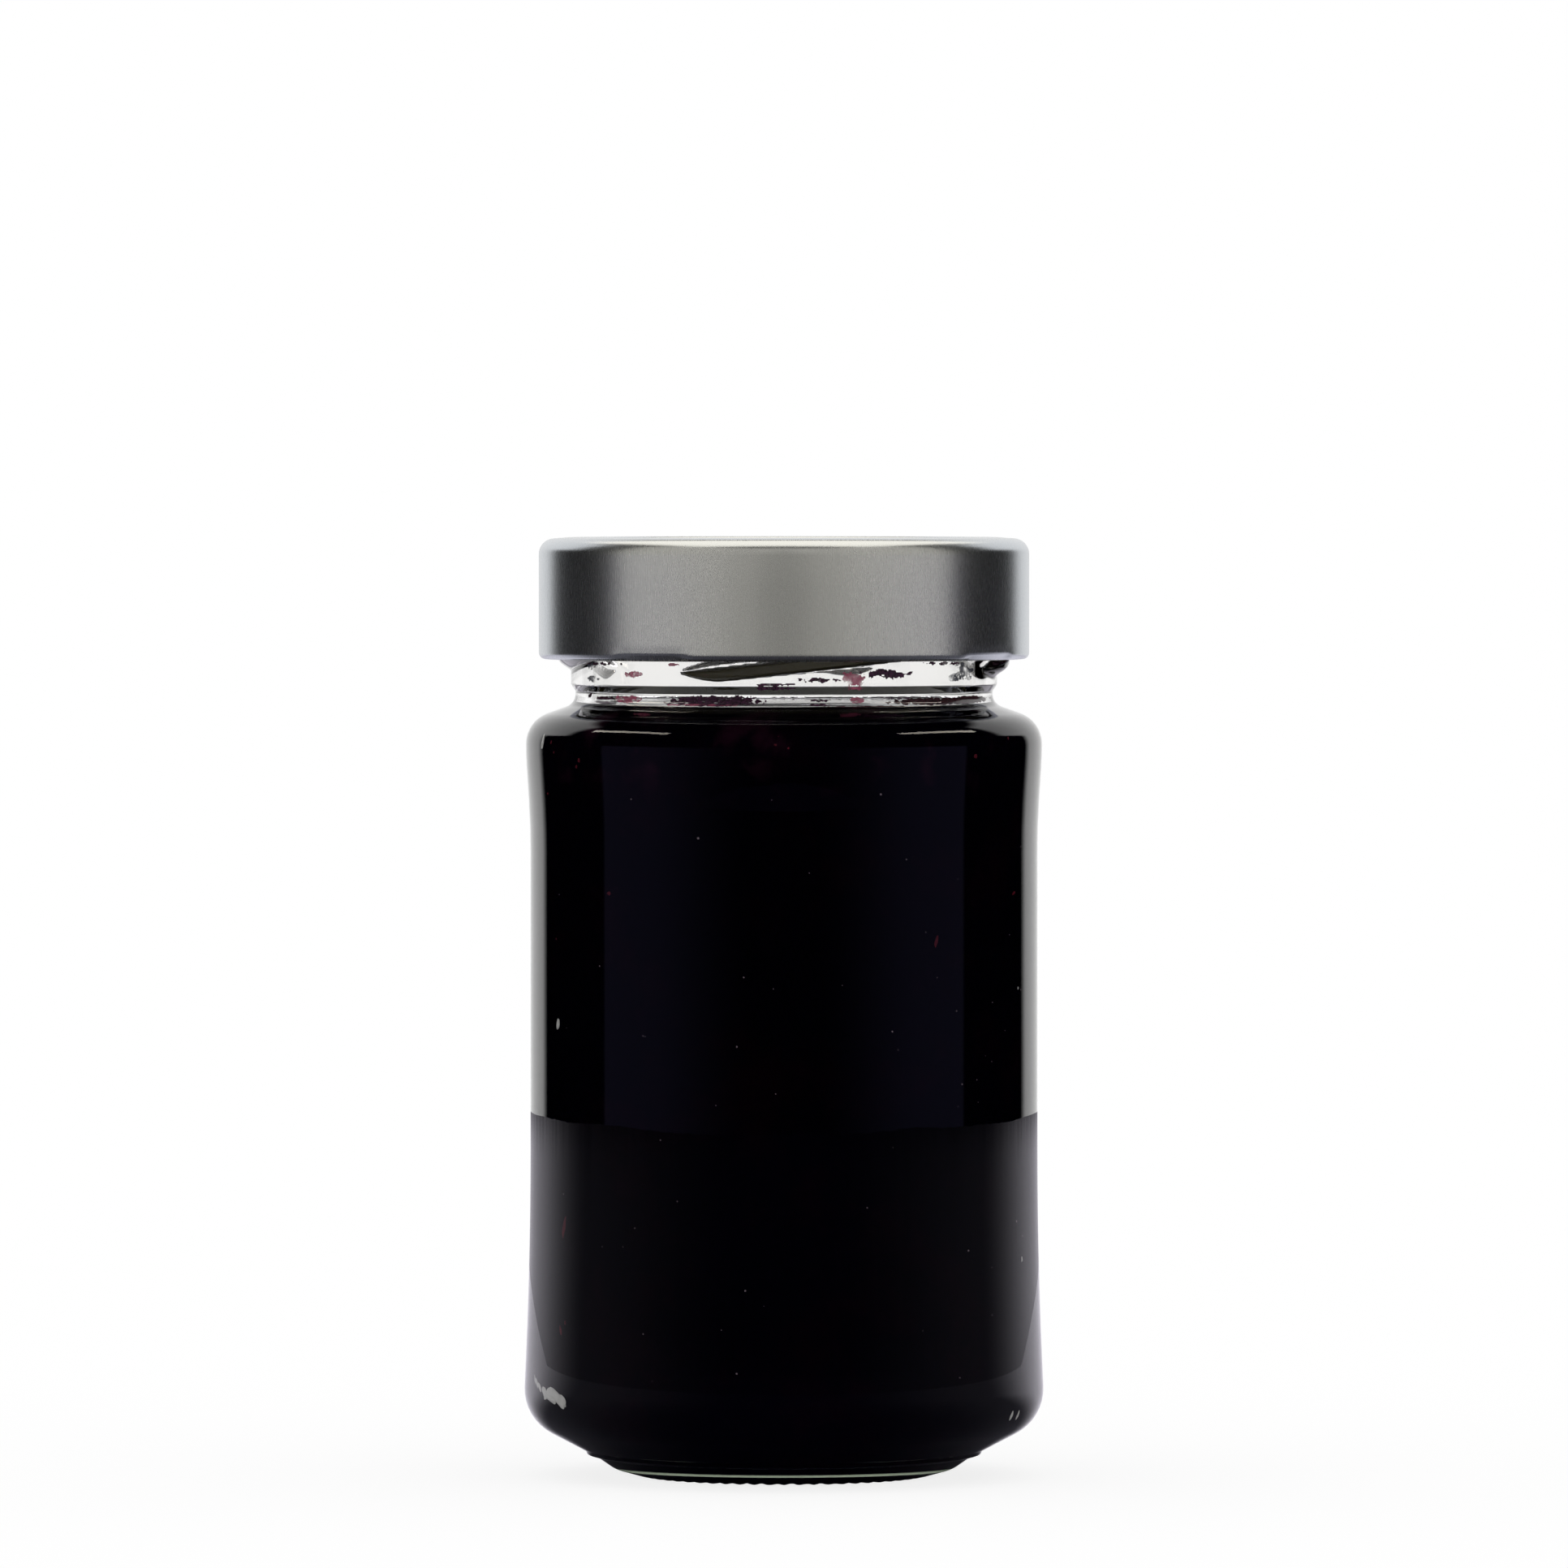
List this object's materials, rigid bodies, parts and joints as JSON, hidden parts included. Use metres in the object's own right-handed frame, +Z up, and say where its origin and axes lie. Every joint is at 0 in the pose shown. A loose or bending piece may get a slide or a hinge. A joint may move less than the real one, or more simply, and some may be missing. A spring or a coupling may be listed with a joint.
{
  "type": "twist-off glass jar",
  "caption": "Waisted clear glass jar with a rounded shoulder and foot, filled to the neck with dark fruit spread and closed by a deep satin metal twist-off lid.",
  "frame": {"origin": "centre of the ring that the jar stands on, in the plane of the table", "axes": "+Z up along the axis of the jar and lid, -Y towards the viewer, +X to the viewer's right"},
  "size_m": [0.0768, 0.0768, 0.1388],
  "materials": {
    "glass": "polished",
    "lid_metal": "satin",
    "spread": "wet, glossy"
  },
  "bodies": {
    "root": {"jar_glass": "glass", "lid": "lid_metal", "fruit_spread": "spread"}
  },
  "joints": []
}
